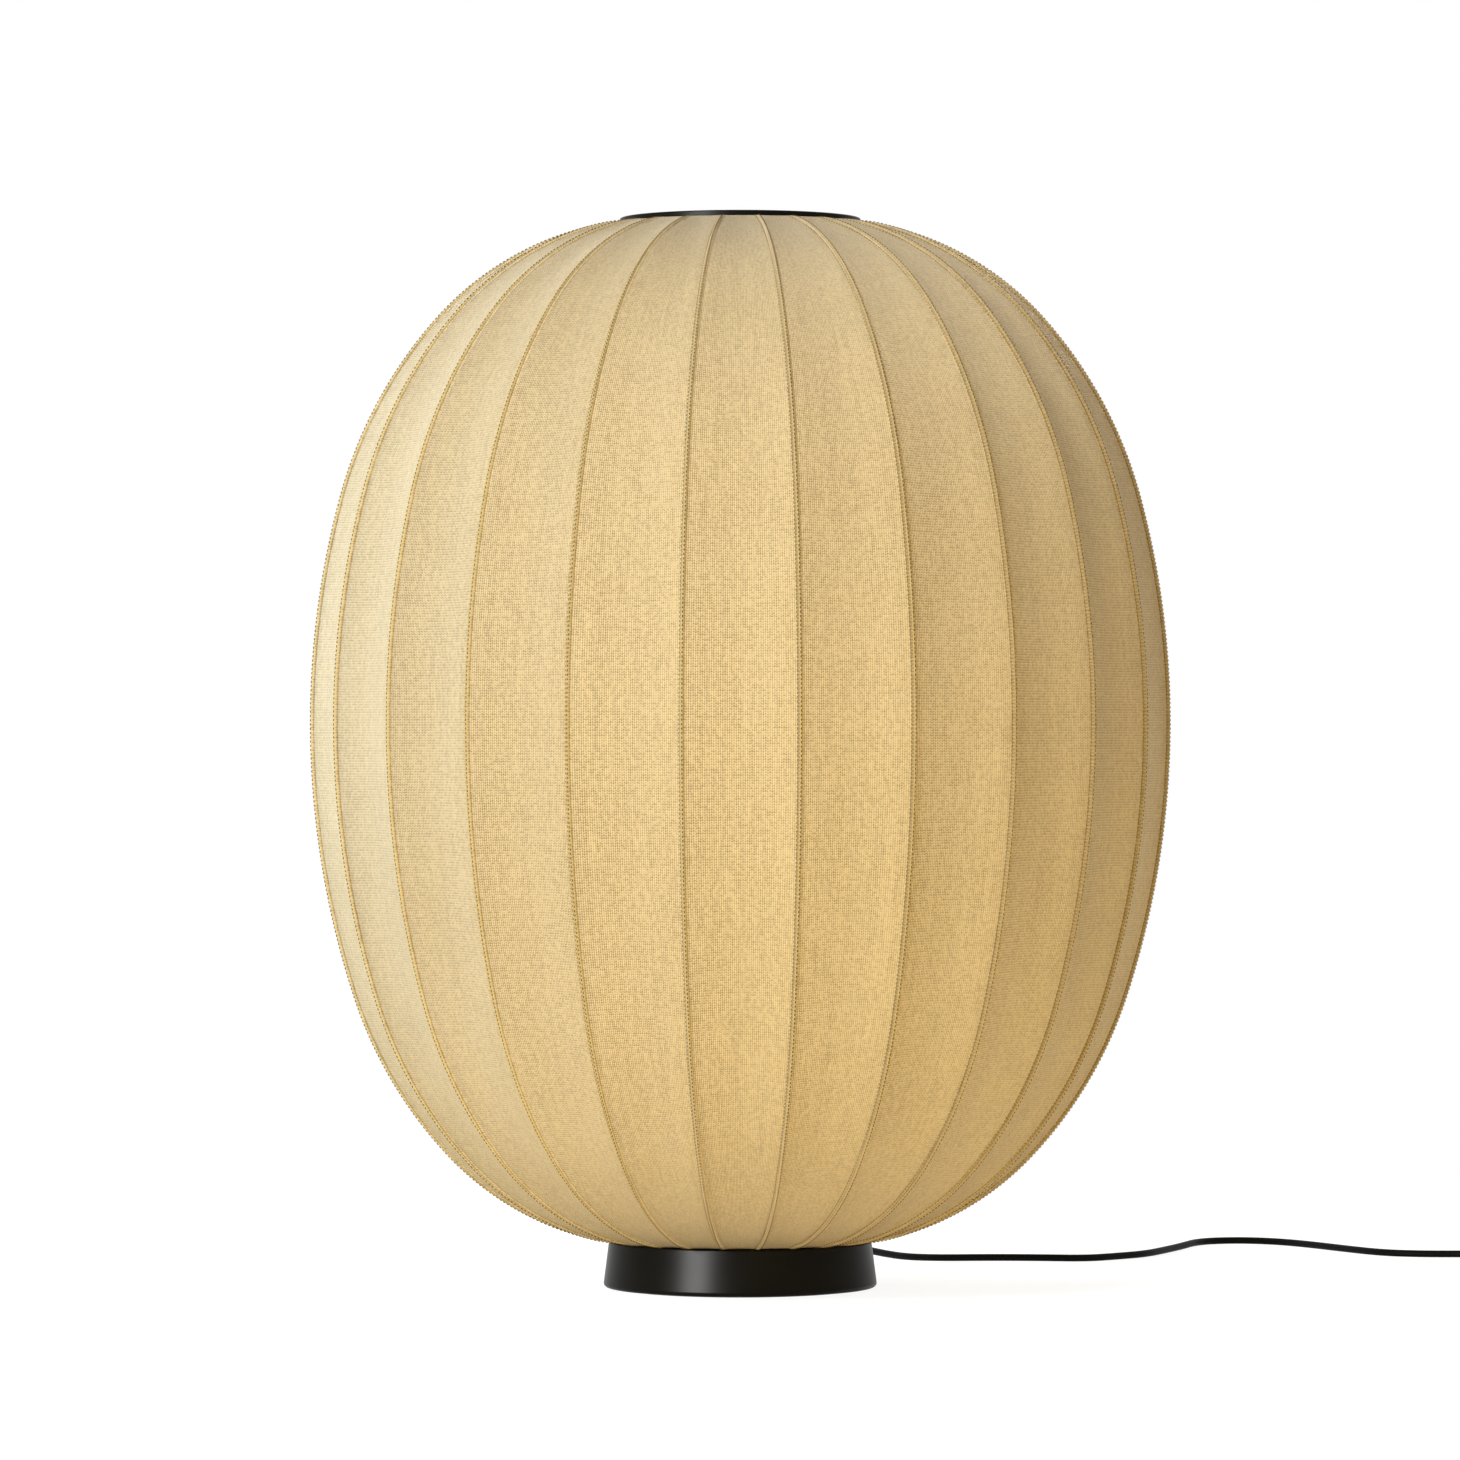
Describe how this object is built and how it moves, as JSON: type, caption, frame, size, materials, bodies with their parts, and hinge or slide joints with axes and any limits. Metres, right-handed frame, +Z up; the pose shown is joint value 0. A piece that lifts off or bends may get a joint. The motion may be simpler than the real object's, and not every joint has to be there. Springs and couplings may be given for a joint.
{
  "type": "floor lamp",
  "caption": "Tall rounded floor lamp: a sand knitted cover stretched over slender ribs, open on top with a black ring, on a low black conical foot with a mains lead.",
  "frame": {"origin": "on the floor under the centre of the foot", "axes": "+Z up along the lamp's axis, -Y towards the viewer of the picture, +X to the right"},
  "size_m": [1.0231, 0.7672, 0.8078],
  "materials": {
    "knit": "fine sand-coloured knit, matt",
    "rod": "pulled glass-fibre rod",
    "ring_steel": "black powder coat",
    "black_lacquer": "satin black lacquer",
    "stem_lacquer": "satin black lacquer",
    "zinc": "zinc-plated steel",
    "iron": "raw cast iron",
    "felt": "black foam rubber",
    "bakelite": "black moulded thermoset",
    "porcelain": "unglazed porcelain",
    "brass": "bright brass",
    "bulb_metal": "spun aluminium",
    "opal_glass": "opal white glass",
    "gland_rubber": "black moulded rubber",
    "cord_sheath": "black flexible sheath",
    "inner_sheath": "white inner sheath",
    "tie_plastic": "black strap",
    "block_plastic": "white moulded plastic",
    "plug_plastic": "black moulded plastic",
    "pin_metal": "nickel-plated brass",
    "switch_plastic": "black moulded plastic",
    "button_plastic": "black polished plastic"
  },
  "bodies": {
    "foot": {"foot_shell": "black_lacquer", "lamp_stem": "stem_lacquer", "stem_collar": "stem_lacquer", "base_screws": "zinc", "stem_nut": "zinc", "switch_screws": "zinc", "base_plate": "zinc", "ballast_plate": "iron", "foot_pad": "felt", "holder_cap": "bakelite", "holder_body": "bakelite", "holder_insert": "porcelain", "screw_shell": "brass", "centre_contact": "brass", "cord_gland": "gland_rubber", "gland_nut": "bakelite", "inner_lead": "cord_sheath", "stem_lead": "inner_sheath", "cord_lead": "cord_sheath", "cord_tail": "cord_sheath", "cord_coil": "cord_sheath", "cord_tie": "tie_plastic", "terminal_block": "block_plastic", "plug_body": "plug_plastic", "plug_pins": "pin_metal", "switch_base": "switch_plastic", "switch_cover": "switch_plastic", "switch_module": "block_plastic"},
    "shade": {"knitted_cover": "knit", "top_rib_ring": "ring_steel", "top_cover_ring": "black_lacquer", "top_ring_screws": "zinc", "bottom_rib_ring": "ring_steel", "rib_01": "rod", "rib_02": "rod", "rib_03": "rod", "rib_04": "rod", "rib_05": "rod", "rib_06": "rod", "rib_07": "rod", "rib_08": "rod", "rib_09": "rod", "rib_10": "rod", "rib_11": "rod", "rib_12": "rod", "rib_13": "rod", "rib_14": "rod", "rib_15": "rod", "rib_16": "rod", "rib_17": "rod", "rib_18": "rod", "rib_19": "rod", "rib_20": "rod", "rib_21": "rod", "rib_22": "rod", "rib_23": "rod", "rib_24": "rod"},
    "bulb": {"bulb_cap": "bulb_metal", "bulb_glass": "opal_glass"},
    "button": {"switch_button": "button_plastic"}
  },
  "joints": [
    {"name": "shade_lift", "type": "slide", "parent": "foot", "child": "shade", "axis": [0, 0, 1], "range_m": [0, 0.06]},
    {"name": "bulb_unscrew", "type": "hinge", "parent": "foot", "child": "bulb", "pos_m": [0, 0, 0.36], "axis": [0, 0, 1], "range_deg": [0, 1080]},
    {"name": "switch_press", "type": "slide", "parent": "foot", "child": "button", "axis": [0, 0, -1], "range_m": [0, 0.0025], "stiffness_N_per_m": 600, "springref_m": -0.002}
  ]
}
